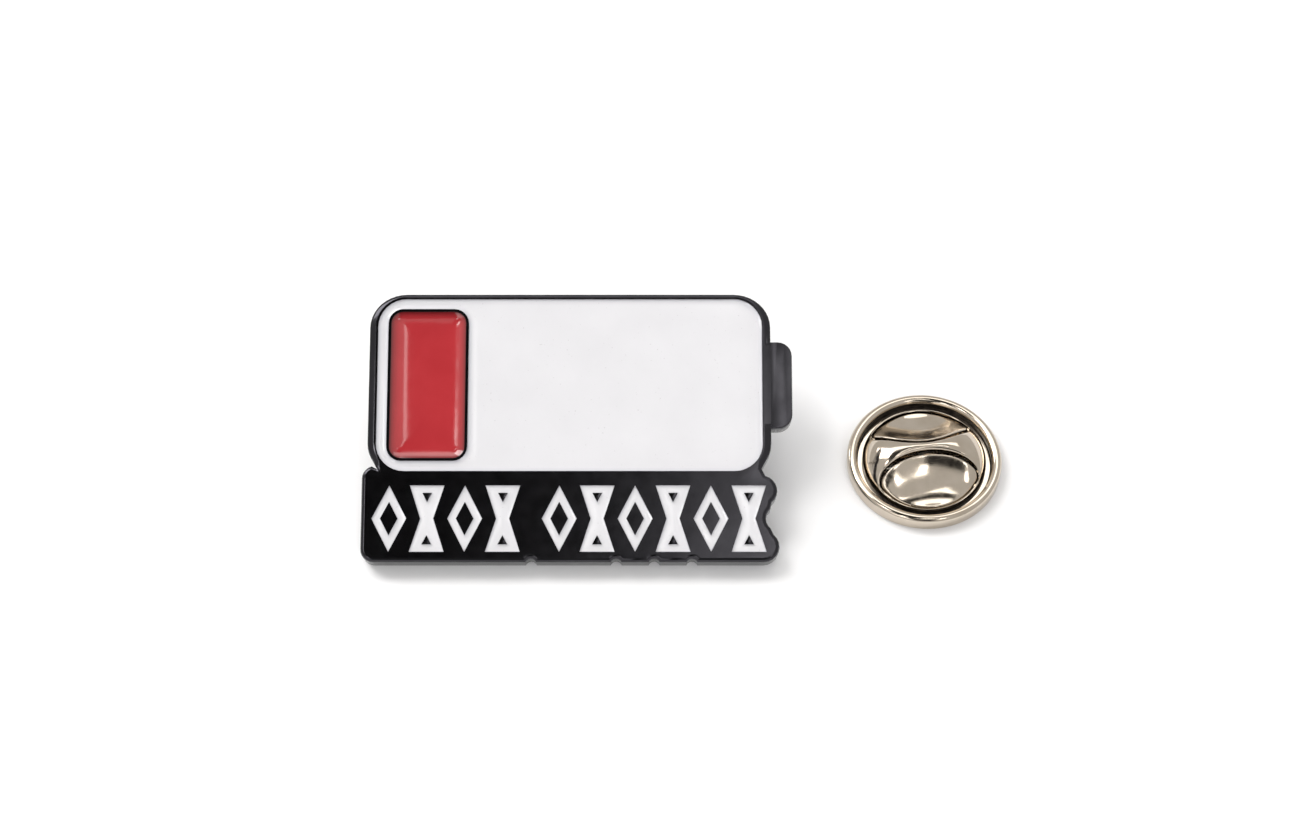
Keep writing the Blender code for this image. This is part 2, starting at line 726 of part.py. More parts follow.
def spring_bend(clutch):
    """The closed end of the hairpin spring, a half ring of wire."""
    sides = 12
    loops = []
    for x, y in arc(0, 0, 1, 90, 270, 12):
        section = []
        for u, v in arc(0, 0, WIRE_RADIUS, 0, 360, sides)[:-1]:
            reach = LEG_OFFSET + u
            section.append((SPRING_BEND_X + x * reach, y * reach, WIRE_HEIGHT + v))
        loops.append(section)
    bend = stacked("spring_bend", loops)
    bend.data.materials.append(spring_steel())
    return place(bend, clutch)


def spring_leg(name, pivot):
    """One straight leg of the hairpin, from its joint with the bend."""
    length = SPRING_LEG_END_X - SPRING_BEND_X
    ring = arc(0, 0, WIRE_RADIUS, 0, 360, 12)[:-1]
    tip_ring = arc(0, 0, WIRE_RADIUS * 0.6, 0, 360, 12)[:-1]
    loops = [[(SPRING_JOINT_GAP, y, z) for y, z in ring]]
    loops.append([(length - WIRE_RADIUS / 2, y, z) for y, z in ring])
    loops.append([(length, y, z) for y, z in tip_ring])
    leg = stacked(name, loops)
    leg.data.materials.append(spring_steel())
    return place(leg, pivot)


# ---------------------------------------------------------------- assembly

def remove_everything():
    for old in list(bpy.data.objects):
        bpy.data.objects.remove(old)


def build():
    remove_everything()

    # the origin is the middle of the whole layout's footprint
    left = -HALF_BATTERY - LEFT_OVERHANG
    right = CLUTCH_RIGHT + CLUTCH_RADIUS
    front = EDGE_ROUND * (math.cos(LEAN) - 1) - (PLATE_THICK - EDGE_ROUND) * math.sin(LEAN)
    back = BADGE_HEIGHT * math.cos(LEAN)
    badge_x = -(left + right) / 2
    badge_y = -(front + back) / 2

    badge = empty("badge_frame", (badge_x, badge_y, 0), (LEAN, 0, 0))
    badge_plate(badge)
    white_field_enamel(badge)
    red_cell_enamel(badge)
    banner_inlays(badge)
    tack_post(badge)
    solder_fillet(badge)

    clutch = empty(
        "clutch_frame", (badge_x + CLUTCH_RIGHT, badge_y + CLUTCH_BEHIND, 0), (0, 0, CLUTCH_TURN))
    clutch_base(clutch)
    clutch_bridge(clutch)
    spring_bend(clutch)
    for name, side, turn in (("front", -1, 0), ("rear", 1, math.pi)):
        hinge = empty(
            f"wing_{name}_hinge", (0, side * WING_HINGE_Y, WING_HINGE_Z), (0, 0, turn), clutch)
        wing(f"wing_{name}", hinge)
        pivot = empty(
            f"leg_{name}_pivot", (SPRING_BEND_X, side * LEG_OFFSET, WIRE_HEIGHT), (0, 0, 0), clutch)
        spring_leg(f"spring_leg_{name}", pivot)


build()
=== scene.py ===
"""Enamel pin with its butterfly clutch lying beside it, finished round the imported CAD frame.

The badge leans back on its bottom edge and the point of its post. Its pieces are shaped in the
badge's own upright frame, picture up, and laid into place at the end. The clutch lies flat.
"""

import json
import math

import bmesh
import bpy
import numpy as np
from mathutils import Matrix, Vector, geometry, noise


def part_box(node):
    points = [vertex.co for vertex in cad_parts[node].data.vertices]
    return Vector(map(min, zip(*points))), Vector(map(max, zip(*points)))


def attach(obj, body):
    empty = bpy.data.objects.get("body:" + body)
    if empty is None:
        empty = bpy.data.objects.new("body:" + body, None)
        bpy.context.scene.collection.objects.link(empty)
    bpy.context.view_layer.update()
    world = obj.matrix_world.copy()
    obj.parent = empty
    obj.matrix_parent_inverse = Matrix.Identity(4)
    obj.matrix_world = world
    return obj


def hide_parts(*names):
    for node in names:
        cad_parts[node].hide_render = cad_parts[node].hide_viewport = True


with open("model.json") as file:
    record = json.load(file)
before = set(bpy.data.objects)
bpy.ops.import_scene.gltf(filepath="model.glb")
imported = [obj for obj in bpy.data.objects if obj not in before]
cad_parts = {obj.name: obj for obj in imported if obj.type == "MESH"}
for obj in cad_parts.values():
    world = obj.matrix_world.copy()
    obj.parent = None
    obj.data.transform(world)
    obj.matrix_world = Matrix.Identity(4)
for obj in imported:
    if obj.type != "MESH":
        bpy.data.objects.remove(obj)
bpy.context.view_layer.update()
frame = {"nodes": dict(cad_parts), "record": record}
nodes = frame["nodes"]
mm = 0.001

# ---------------------------------------------------------------- plate
# One plate of die-struck zinc alloy, plated black: battery outline with its terminal, banner below,
# raised lines round sunk cells. Tumbling after striking rounds the edge of every line, and the
# battery's two side lines are a little fuller than the rest.
back_face = next(m for m in frame["record"]["mounts"] if m["name"] == "back_face")
lean = math.atan2(back_face["axis"][1], -back_face["axis"][2])
back_face_on_badge = Vector((-8 * mm, 9 * mm, 0))
badge_turn = Matrix.Rotation(lean, 4, "X")
badge_place = Matrix.Translation(Vector(back_face["pos_m"]) - badge_turn @ back_face_on_badge) @ badge_turn
weld_gap = 0.002 * mm
flat_angle = math.radians(0.4)
level_slack = 0.003 * mm

plate_thick = 1.8 * mm
cell_floor = 1.3 * mm
lip_round = 0.085 * mm
back_edge_round = 0.1 * mm
battery_half_width = 14.525 * mm
battery_bottom = 6.27 * mm
battery_top = 20.0 * mm
battery_corner = 2.5 * mm
banner_join = 7.2 * mm
side_fullness = 0.22 * mm
terminal_share = 0.5
outline_slack = 0.1 * mm
terminal_from = 0.3 * mm


def copied(node, name):
    """A merged copy of a CAD node's mesh, lifted into the badge's own frame."""
    mesh = nodes[node].data.copy()
    mesh.name = name
    mesh.materials.clear()
    mesh.transform(badge_place.inverted())
    piece = bpy.data.objects.new(name, mesh)
    bpy.context.scene.collection.objects.link(piece)
    open_for_work(piece)
    bpy.ops.mesh.select_all(action="SELECT")
    bpy.ops.mesh.remove_doubles(threshold=weld_gap)
    bpy.ops.mesh.dissolve_limited(angle_limit=flat_angle)
    bpy.ops.mesh.select_all(action="DESELECT")
    return piece


def open_for_work(piece):
    """Puts one piece alone in edit mode."""
    if bpy.context.object and bpy.context.object.mode == "EDIT":
        bpy.ops.object.mode_set(mode="OBJECT")
    bpy.ops.object.select_all(action="DESELECT")
    piece.select_set(True)
    bpy.context.view_layer.objects.active = piece
    bpy.ops.object.mode_set(mode="EDIT")


def pick(piece, kind, wanted):
    """Selects the piece's vertices, edges or faces that answer a question, and nothing else."""
    bpy.ops.mesh.select_mode(type={"verts": "VERT", "edges": "EDGE", "faces": "FACE"}[kind])
    bpy.ops.mesh.select_all(action="DESELECT")
    bm = bmesh.from_edit_mesh(piece.data)
    bm.normal_update()
    for part in getattr(bm, kind):
        if wanted(part):
            part.select_set(True)
    bm.select_flush_mode()
    bmesh.update_edit_mesh(piece.data)


def finished(piece, to_place, material, body, slot, *replaced, sharp=35, flat_faces=False):
    """Shades a piece, lays it where it belongs, hangs it on the body it rides on, and hides the CAD parts it
    stands for.
    """
    if bpy.context.object and bpy.context.object.mode == "EDIT":
        bpy.ops.object.mode_set(mode="OBJECT")
    bpy.ops.object.select_all(action="DESELECT")
    piece.select_set(True)
    bpy.context.view_layer.objects.active = piece
    bpy.ops.object.shade_smooth_by_angle(angle=math.radians(sharp))
    if flat_faces:
        evened = piece.modifiers.new("flat faces", "WEIGHTED_NORMAL")
        evened.keep_sharp = True
        evened.weight = 100
        bpy.ops.object.modifier_apply(modifier=evened.name)
    piece.data.transform(to_place)
    piece.data.materials.clear()
    piece.data.materials.append(material)
    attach(piece, body)
    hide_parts(*replaced)
    return piece


def height_is(part, height):
    return all(abs(v.co.z - height) < level_slack for v in part.verts)


def is_corner(edge, degrees=50):
    return len(edge.link_faces) == 2 and edge.calc_face_angle(0) > math.radians(degrees)


class Recipe:
    """A material's nodes, put down one by one."""

    def __init__(self, name, **sockets):
        self.material = bpy.data.materials.new(name)
        self.material.use_nodes = True
        self.nodes = self.material.node_tree.nodes
        self.links = self.material.node_tree.links
        self.shader = self.nodes["Principled BSDF"]
        self.place = self.add("ShaderNodeTexCoord").outputs["Object"]
        for socket, value in sockets.items():
            self.shader.inputs[socket.replace("_", " ")].default_value = value

    def add(self, kind, **settings):
        node = self.nodes.new(kind)
        for setting, value in settings.items():
            setattr(node, setting, value)
        return node

    def noise(self, size, detail=3.0, stretch=(1, 1, 1)):
        """Cloudy noise whose blots are about this size, in metres."""
        mapping = self.add("ShaderNodeMapping")
        mapping.inputs["Scale"].default_value = stretch
        self.links.new(self.place, mapping.inputs["Vector"])
        texture = self.add("ShaderNodeTexNoise")
        texture.inputs["Scale"].default_value = 1 / size
        texture.inputs["Detail"].default_value = detail
        self.links.new(mapping.outputs["Vector"], texture.inputs["Vector"])
        return texture.outputs["Fac"]

    def spread(self, source, low, high, from_low=0.3, from_high=0.7):
        """Turns a noise into a number between low and high."""
        ramp = self.add("ShaderNodeMapRange")
        ends = {"From Min": from_low, "From Max": from_high, "To Min": low, "To Max": high}
        for socket, value in ends.items():
            ramp.inputs[socket].default_value = value
        self.links.new(source, ramp.inputs["Value"])
        return ramp.outputs["Result"]

    def blend(self, share, first, second):
        """A colour between two, by a number or by another colour's link."""
        mix = self.add("ShaderNodeMix", data_type="RGBA")
        self.links.new(share, mix.inputs["Factor"])
        for socket, value in (("A", first), ("B", second)):
            target = next(i for i in mix.inputs if i.name == socket and i.type == "RGBA")
            if isinstance(value, tuple):
                target.default_value = (*value, 1)
            else:
                self.links.new(value, target)
        return next(o for o in mix.outputs if o.type == "RGBA")

    def relief(self, source, height):
        """A fine unevenness of the surface, in metres from its lowest to its highest."""
        bump = self.add("ShaderNodeBump")
        bump.inputs["Strength"].default_value = 1.0
        bump.inputs["Distance"].default_value = height
        before = self.shader.inputs["Normal"].links
        if before:
            self.links.new(before[0].from_socket, bump.inputs["Normal"])
        self.links.new(source, bump.inputs["Height"])
        self.links.new(bump.outputs["Normal"], self.shader.inputs["Normal"])

    def feed(self, socket, source):
        self.links.new(source, self.shader.inputs[socket])


def black_plating():
    """Glossy black nickel, a little worn and cloudy, with fine tumbling marks."""
    recipe = Recipe("black_plating", Metallic=1.0)
    cloud = recipe.noise(3.0 * mm, 4)
    recipe.feed("Base Color", recipe.blend(
        recipe.spread(cloud, 0, 1), (0.038, 0.037, 0.042), (0.048, 0.047, 0.053)))
    recipe.feed("Roughness", recipe.spread(recipe.noise(0.9 * mm, 4), 0.12, 0.17))
    recipe.relief(recipe.noise(2.6 * mm, 2), 0.004 * mm)
    recipe.relief(recipe.noise(0.16 * mm, 2), 0.0003 * mm)
    return recipe.material


def out_of_core(x, y):
    """The way out to a point from the battery's core, on whose corners its round corners turn."""
    core_x = min(max(x, battery_corner - battery_half_width), battery_half_width - battery_corner)
    core_y = min(max(y, battery_bottom + battery_corner), battery_top - battery_corner)
    return Vector((x - core_x, y - core_y))


plating = black_plating()
plate = copied("badge_plate", "plate")
bm = bmesh.from_edit_mesh(plate.data)
for vert in bm.verts:
    outward = out_of_core(vert.co.x, vert.co.y)
    if vert.co.y > banner_join and outward.length > battery_corner - outline_slack:
        on_terminal = outward.length > battery_corner + terminal_from
        vert.co.x += side_fullness * (terminal_share if on_terminal else 1.0) * outward.normalized().x
bmesh.update_edit_mesh(plate.data)
pick(plate, "edges", lambda e: height_is(e, plate_thick) and is_corner(e))
bpy.ops.mesh.bevel(offset=lip_round, segments=3, clamp_overlap=True)
pick(plate, "edges", lambda e: height_is(e, 0) and is_corner(e))
bpy.ops.mesh.bevel(offset=back_edge_round, segments=2, clamp_overlap=True)
bpy.ops.object.mode_set(mode="OBJECT")
finished(plate, badge_place, plating, "badge", "black_nickel", "badge_plate", flat_faces=True)

# ---------------------------------------------------------------- enamel
# Soft enamel, filled into each cell with a needle and baked. It shrinks as it sets, so its face is a
# hollow that climbs up the metal all round. Its colour is painted darker near the walls: painted shade.
fill_edge = 1.725 * mm
outline_match = 0.06 * mm
wall_point_gap = 0.04 * mm
banner_rings = (0.03 * mm, 0.05 * mm, 0.07 * mm)
banner_hollow = 0.085 * mm
banner_reach = 0.16 * mm
banner_shade = 0.07 * mm
white_rings = (0.05 * mm, 0.07 * mm, 0.08 * mm, 0.08 * mm)
white_hollow = 0.12 * mm
white_reach = 0.3 * mm
white_net = 0.4 * mm
red_rings = (0.05 * mm, 0.08 * mm, 0.11 * mm, 0.14 * mm, 0.16 * mm)
red_hollow = 0.30 * mm
red_reach = 0.52 * mm
red_sag = 0.06 * mm
red_sag_reach = 1.6 * mm
red_net = 0.2 * mm
cell_names = ["white_field_enamel", "red_cell_enamel"] + [f"banner_inlay_{n:02d}" for n in range(1, 11)]


def fill_of(name):
    """The floor of one cell, lifted out of the plate and raised to the height of its fill."""
    fill = copied("badge_plate", name.replace("enamel", "fill").replace("inlay", "fill"))
    pick(fill, "faces", lambda f: height_is(f, cell_floor) and f.normal.z > 0.9)
    bpy.ops.mesh.select_all(action="INVERT")
    bpy.ops.mesh.delete(type="FACE")
    outline = copied(name, "outline")
    bpy.ops.object.mode_set(mode="OBJECT")
    corners = np.array([v.co[:2] for v in outline.data.vertices])
    bpy.data.objects.remove(outline)
    open_for_work(fill)
    pick(fill, "verts", lambda v: np.hypot(*(corners - v.co[:2]).T).min() > outline_match)
    bpy.ops.mesh.delete(type="VERT")
    bpy.ops.mesh.select_mode(type="FACE")
    bpy.ops.mesh.select_all(action="SELECT")
    bpy.ops.mesh.normals_make_consistent(inside=False)
    bpy.ops.mesh.extrude_region_move(TRANSFORM_OT_translate={"value": (0, 0, fill_edge - cell_floor)})
    return fill


def wall_points(fill):
    """Points every few hundredths of a millimetre along the edge of a fill's face."""
    bm = bmesh.from_edit_mesh(fill.data)
    points = []
    for edge in bm.edges:
        if height_is(edge, fill_edge) and is_corner(edge):
            a, b = (np.array(v.co[:2]) for v in edge.verts)
            steps = max(2, int(np.hypot(*(b - a)) / wall_point_gap))
            points.extend(a + (b - a) * k / steps for k in range(steps))
    return np.array(points)


def edge_loops(edges):
    """The closed loops that some edges make, the metal always on the right hand."""
    loops = []
    left = set(edges)
    while left:
        edge = left.pop()
        loop = [edge.verts[0], edge.verts[1]]
        while loop[-1] is not loop[0]:
            edge = next(e for e in loop[-1].link_edges if e in left)
            left.remove(edge)
            loop.append(edge.other_vert(loop[-1]))
        loops.append(loop[:-1])

    def area(loop):
        return sum(a.co.x * b.co.y - b.co.x * a.co.y for a, b in zip(loop, loop[1:] + loop[:1])) / 2

    loops.sort(key=lambda loop: -abs(area(loop)))
    for k, loop in enumerate(loops):
        if (area(loop) > 0) != (k == 0):
            loop.reverse()
    return loops


def moved_in(spots, distance):
    """A loop's points moved away from the wall, its corners kept sharp."""
    moved = []
    for k, here in enumerate(spots):
        into = (here - spots[k - 1]).normalized().orthogonal()
        out_of = (spots[(k + 1) % len(spots)] - here).normalized().orthogonal()
        moved.append(here + distance * (into + out_of) / (1 + into.dot(out_of)))
    return moved


def cut_in_squares(fill, size):
    """Cuts a fill's face both ways at an even spacing, so that a wide one can bend."""
    spots = [v.co.copy() for v in bmesh.from_edit_mesh(fill.data).verts]
    for axis in (0, 1):
        start, end = min(v[axis] for v in spots), max(v[axis] for v in spots)
        for k in range(1, int((end - start) / size) + 1):
            cut = [0, 0, 0]
            cut[axis] = start + k * size
            pick(fill, "faces", lambda f: height_is(f, fill_edge))
            bpy.ops.mesh.bisect(plane_co=cut, plane_no=(1 - axis, axis, 0))


def settle(fill, rings, hollow, reach, sag=0.0, sag_reach=1.0 * mm, net=None, shaded=0.3 * mm):
    """Lays rings along the walls of a fill's face and lets each point sink by how far it is from them.

    The hollow is the steep part near the wall, and the sag a slow one over the whole face. The net
    is the size of the squares that a wide face is cut into.
    """
    walls = wall_points(fill)
    bm = bmesh.from_edit_mesh(fill.data)
    face = [f for f in bm.faces if height_is(f, fill_edge)]
    loops = edge_loops([e for e in bm.edges if sum(f in face for f in e.link_faces) == 1])
    bmesh.ops.delete(bm, geom=face, context="FACES")
    inner = []
    for loop in loops:
        spots = [v.co.xy for v in loop]
        away = 0
        for ring in rings:
            away += ring
            inside = [bm.verts.new((p.x, p.y, fill_edge)) for p in moved_in(spots, away)]
            for k in range(len(loop)):
                bm.faces.new((loop[k - 1], loop[k], inside[k], inside[k - 1]))
            loop = inside
        inner += [bm.edges.get((loop[k - 1], loop[k])) for k in range(len(loop))]
    bmesh.ops.triangle_fill(bm, use_beauty=True, edges=inner, normal=(0, 0, 1))
    bmesh.update_edit_mesh(fill.data)
    if net:
        cut_in_squares(fill, net)
    bm = bmesh.from_edit_mesh(fill.data)
    # Painted shade: each point's share of its distance from the wall, which the glazes turn into darker
    # colour near the metal.
    share = bm.verts.layers.float.new("from_wall")
    for vert in bm.verts:
        if abs(vert.co.z - fill_edge) < level_slack:
            away = np.hypot(*(walls - vert.co[:2]).T).min()
            vert[share] = 1 - math.exp(-away / shaded)
            vert.co.z -= hollow * (1 - math.exp(-away / reach)) + sag * (1 - math.exp(-away / sag_reach))
    bmesh.update_edit_mesh(fill.data)
    bpy.ops.object.mode_set(mode="OBJECT")
    return fill


def white_glaze():
    """White enamel: painted bluish grey shade where it climbs the metal, tiny specks and slow waves."""
    recipe = Recipe("white_glaze", Roughness=0.16, Coat_Weight=0.4, Coat_Roughness=0.06)
    near = recipe.add("ShaderNodeAttribute", attribute_name="from_wall").outputs["Fac"]
    cloud = recipe.spread(recipe.noise(4 * mm, 4), 0, 1)
    body = recipe.blend(cloud, (0.65, 0.646, 0.668), (0.68, 0.676, 0.698))
    specks = recipe.spread(recipe.noise(0.16 * mm, 1), 0, 1, 0.74, 0.78)
    specked = recipe.blend(specks, body, (0.55, 0.54, 0.56))
    # Painted shade: the white turns bluish grey near the walls.
    recipe.feed("Base Color", recipe.blend(recipe.spread(near, 1, 0, 0.0, 0.75), specked, (0.50, 0.50, 0.54)))
    recipe.relief(recipe.noise(3.5 * mm, 2), 0.02 * mm)
    recipe.relief(recipe.noise(0.35 * mm, 2), 0.0015 * mm)
    return recipe.material


def red_glaze():
    """Red enamel, painted darker at the wall as shade."""
    recipe = Recipe("red_glaze", Roughness=0.12, Coat_Weight=0.6, Coat_Roughness=0.04)
    near = recipe.add("ShaderNodeAttribute", attribute_name="from_wall").outputs["Fac"]
    cloud = recipe.spread(recipe.noise(2.5 * mm, 4), 0, 1)
    body = recipe.blend(cloud, (0.37, 0.024, 0.030), (0.41, 0.030, 0.036))
    # Painted shade: the red turns dark near the walls.
    recipe.feed("Base Color", recipe.blend(recipe.spread(near, 1, 0, 0.0, 0.9), body, (0.11, 0.006, 0.008)))
    recipe.relief(recipe.noise(2.4 * mm, 2), 0.02 * mm)
    recipe.relief(recipe.noise(0.3 * mm, 2), 0.0012 * mm)
    return recipe.material


white = white_glaze()
red = red_glaze()
for name in cell_names:
    fill = fill_of(name)
    glaze, slot = white, "white_enamel"
    if name == "red_cell_enamel":
        glaze, slot = red, "red_enamel"
        settle(fill, red_rings, red_hollow, red_reach, red_sag, red_sag_reach, net=red_net)
    elif name == "white_field_enamel":
        settle(fill, white_rings, white_hollow, white_reach, net=white_net)
    else:
        settle(fill, banner_rings, banner_hollow, banner_reach, shaded=banner_shade)
    finished(fill, badge_place, glaze, "badge", slot, name)

# ---------------------------------------------------------------- post
# The tack: pad, shank and point turned from one brass wire and nickel plated, with a groove near its
# end for the clutch's spring to snap into. The pad sits in a shallow seat in the plate's back.
post_on_badge = 15.5 * mm
pad_face = 0.17 * mm
pad_radius = 2.25 * mm
pad_thick = 0.4 * mm
post_radius = 0.55 * mm
post_length = 6.5 * mm
tip_length = 1.2 * mm
tip_radius = 0.06 * mm
groove_middle = 4.8 * mm
groove_width = 0.55 * mm
groove_radius = 0.42 * mm
post_corner = 0.08 * mm
seam_gap = 0.001 * mm


def rounded(profile, corner, steps=4):
    """A profile of (radius, height) points with its corners rounded off."""
    smooth = []
    points = [Vector(p) for p in profile]
    for i, here in enumerate(points):
        if i in (0, len(points) - 1):
            smooth.append(here)
            continue
        before, after = points[i - 1], points[i + 1]
        reach = min(corner, (before - here).length * 0.45, (after - here).length * 0.45)
        start = here + (before - here).normalized() * reach
        end = here + (after - here).normalized() * reach
        for k in range(steps + 1):
            t = k / steps
            smooth.append(start.lerp(here, t).lerp(here.lerp(end, t), t))
    return smooth


def turned(name, profile, steps=96, closed=False):
    """A profile of (radius, height) points spun about the upright axis into a closed solid."""
    mesh = bpy.data.meshes.new(name)
    points = [(r, 0, z) for r, z in profile]
    edges = [(i, i + 1) for i in range(len(points) - 1)] + ([(len(points) - 1, 0)] if closed else [])
    mesh.from_pydata(points, edges, [])
    piece = bpy.data.objects.new(name, mesh)
    bpy.context.scene.collection.objects.link(piece)
    open_for_work(piece)
    bpy.ops.mesh.select_all(action="SELECT")
    bpy.ops.mesh.spin(steps=steps, angle=math.tau, center=(0, 0, 0), axis=(0, 0, 1), dupli=False)
    bpy.ops.mesh.select_all(action="SELECT")
    bpy.ops.mesh.remove_doubles(threshold=seam_gap)
    bpy.ops.mesh.normals_make_consistent(inside=False)
    bpy.ops.object.mode_set(mode="OBJECT")
    return piece


def turned_nickel():
    """Nickel over turned brass: bright, with fine rings left by the tool."""
    recipe = Recipe("turned_nickel", Metallic=1.0)
    cloud = recipe.spread(recipe.noise(0.8 * mm, 4), 0, 1)
    recipe.feed("Base Color", recipe.blend(cloud, (0.50, 0.465, 0.42), (0.58, 0.54, 0.49)))
    recipe.feed("Roughness", recipe.spread(recipe.noise(0.3 * mm, 4), 0.14, 0.26))
    recipe.relief(recipe.noise(0.6 * mm, 3, (0.05, 1, 1)), 0.002 * mm)
    return recipe.material


shank_start = pad_face - pad_thick
post_profile = [
    (0, pad_face),
    (pad_radius, pad_face),
    (pad_radius, shank_start),
    (post_radius * 1.5, shank_start),
    (post_radius, shank_start - post_radius / 2),
    (post_radius, groove_width / 2 - groove_middle),
    (groove_radius, groove_width / 2 - groove_middle - (post_radius - groove_radius)),
    (groove_radius, -groove_width / 2 - groove_middle + (post_radius - groove_radius)),
    (post_radius, -groove_width / 2 - groove_middle),
    (post_radius, tip_length - post_length),
    (tip_radius, -post_length),
    (0, -post_length),
]
post = turned("post", rounded(post_profile, post_corner), 64)
post.data.transform(Matrix.Translation((0, post_on_badge, 0)))
finished(post, badge_place, turned_nickel(), "badge", "tack_nickel", "tack_post")

# ---------------------------------------------------------------- solder
# Soft solder that was melted into the seat round the pad: thick against the pad, thin and a little
# uneven where it ran out, dull grey.
solder_inner = pad_radius + 0.03 * mm
solder_width = 0.9 * mm
seat_floor = pad_face
solder_rise = seat_floor + 0.12 * mm
solder_thin_share = 0.3
solder_run_out = 1.6
lump_height = 0.03 * mm
lump_size = 0.9 * mm
small_lump_size = 0.35 * mm


def dull_solder():
    """Solder gone dull: grey, clouded and a little rough."""
    recipe = Recipe("dull_solder", Metallic=1.0)
    cloud = recipe.spread(recipe.noise(0.5 * mm, 5), 0, 1)
    recipe.feed("Base Color", recipe.blend(cloud, (0.27, 0.27, 0.275), (0.40, 0.40, 0.41)))
    recipe.feed("Roughness", recipe.spread(recipe.noise(0.25 * mm, 4), 0.34, 0.55))
    recipe.relief(recipe.noise(0.35 * mm, 5), 0.02 * mm)
    return recipe.material


def solder_surface(share):
    """The run of solder at a share of its width out from the pad: radius, height."""
    thick = solder_thin_share + (1 - solder_thin_share) * (1 - share) ** solder_run_out
    return solder_inner + solder_width * share, seat_floor - solder_rise * thick


solder_profile = [
    (solder_inner, seat_floor),
    *[solder_surface(k / 12) for k in range(13)],
    (solder_inner + solder_width, seat_floor),
]
solder_ring = turned("solder_ring", solder_profile, 144, closed=True)
for vert in solder_ring.data.vertices:
    if vert.co.z < seat_floor - solder_rise / 4:
        lump = noise.noise(vert.co / lump_size) + 0.5 * noise.noise(vert.co / small_lump_size)
        vert.co.z += lump_height * lump
solder_ring.data.transform(Matrix.Translation((0, post_on_badge, 0)))
finished(solder_ring, badge_place, dull_solder(), "badge", "solder", "solder_fillet")

# ---------------------------------------------------------------- clutch tray
# The clutch's round tray, drawn from thin brass sheet and rolled over into a fat rim, polished and
# nickel plated. The post goes up through the hole in its floor.
low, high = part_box("clutch_base")
clutch_place = (Matrix.Translation(((low.x + high.x) / 2, (low.y + high.y) / 2, 0))
                @ Matrix.Rotation(math.radians(6), 4, "Z"))
clutch_radius = 5.75 * mm
tray_floor = 0.4 * mm
rim_width = 0.75 * mm
rim_height = 1.25 * mm
hole_radius = 0.7 * mm
hole_edge = 0.05 * mm
hole_under_edge = 0.02 * mm
round_steps = 160
foot = 0.28 * mm
tray_inside_corner = 0.08 * mm
# The groove's painted shade: how far out it starts and ends, and how low and high it lies.
groove_shade_from = 4.2 * mm
groove_shade_to = clutch_radius - rim_width + 0.02 * mm
groove_shade_bottom = 0.3 * mm
groove_shade_top = 0.95 * mm
wall_slack = 0.01 * mm


def polished_nickel():
    """Mirror nickel with a warm cast, faint clouds of wear and hairline scratches."""
    recipe = Recipe("polished_nickel", Metallic=1.0)
    cloud = recipe.spread(recipe.noise(1.5 * mm, 5), 0, 1)
    recipe.feed("Base Color", recipe.blend(cloud, (0.54, 0.47, 0.385), (0.61, 0.54, 0.455)))
    recipe.feed("Roughness", recipe.spread(recipe.noise(0.5 * mm, 5), 0.07, 0.15))
    recipe.relief(recipe.noise(1.1 * mm, 2), 0.006 * mm)
    recipe.relief(recipe.noise(0.09 * mm, 3, (1, 0.12, 1)), 0.0004 * mm)
    return recipe.material


def recess_nickel():
    """The nickel deep in the groove round the cap, painted near black as shade."""
    recipe = Recipe("recess_nickel", Metallic=1.0)
    cloud = recipe.spread(recipe.noise(0.6 * mm, 4), 0, 1)
    recipe.feed("Base Color", recipe.blend(cloud, (0.018, 0.016, 0.015), (0.07, 0.06, 0.05)))
    recipe.feed("Roughness", recipe.spread(recipe.noise(0.3 * mm, 4), 0.35, 0.55))
    return recipe.material


def arc(x, y, radius, start, end, steps):
    """Points along an arc about (x, y), from one angle to another in degrees."""
    angles = [math.radians(start + (end - start) * k / steps) for k in range(steps + 1)]
    return [(x + radius * math.cos(a), y + radius * math.sin(a)) for a in angles]


def paint_groove_shade(piece, wanted):
    """Gives the faces that lie in the groove the near-black nickel of painted shade."""
    piece.data.materials.append(groove_shade)
    for face in piece.data.polygons:
        spot = clutch_place.inverted() @ face.center
        if wanted(math.hypot(spot.x, spot.y), spot.z):
            face.material_index = 1


nickel = polished_nickel()
groove_shade = recess_nickel()
roll = rim_width / 2
tray_profile = [
    (hole_radius, hole_under_edge),
    (hole_radius + hole_edge, 0),
    *arc(clutch_radius - foot, foot, foot, -90, 0, 6),
    *arc(clutch_radius - roll, rim_height - roll, roll, 0, 180, 15),
    (clutch_radius - rim_width, tray_floor + tray_inside_corner),
    (clutch_radius - rim_width - tray_inside_corner, tray_floor),
    (hole_radius + hole_edge, tray_floor),
    (hole_radius, tray_floor - hole_edge),
]
tray = turned("clutch_tray", tray_profile, round_steps, closed=True)
finished(tray, clutch_place, nickel, "clutch", "clutch_nickel", "clutch_base", flat_faces=True)
# Painted shade: the tray's floor and inner wall down in the groove get the near-black nickel.
paint_groove_shade(tray, lambda r, z: groove_shade_from < r < groove_shade_to and groove_shade_bottom < z < groove_shade_top)

# ---------------------------------------------------------------- clutch cap
# The cap that holds the butterfly down: a ring and an hourglass ridge pressed from one disc, with a
# D-shaped window each side. Every edge is drawn over by the press, so none of them is sharp.
cap_radius = 4.6 * mm
cap_edge = 1.0 * mm
ridge_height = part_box("clutch_bridge")[1].z
ridge_half = 0.32 * mm
ridge_flare = 2.53 * mm - ridge_half
flare_radius = (cap_radius ** 2 + ridge_flare ** 2) / (2 * ridge_flare)
window_radius = 4.35 * mm
window_corner = 0.85 * mm
sheet_thick = 0.3 * mm
cap_seat = 0.43 * mm
lip = 0.13 * mm
shoulder = 0.24 * mm
cap_inside_radius = 0.94 * cap_radius
slope_start = 0.12 * mm
ridge_end_fall = 4
slope_bow = 1.3
net_spacing = 0.16 * mm


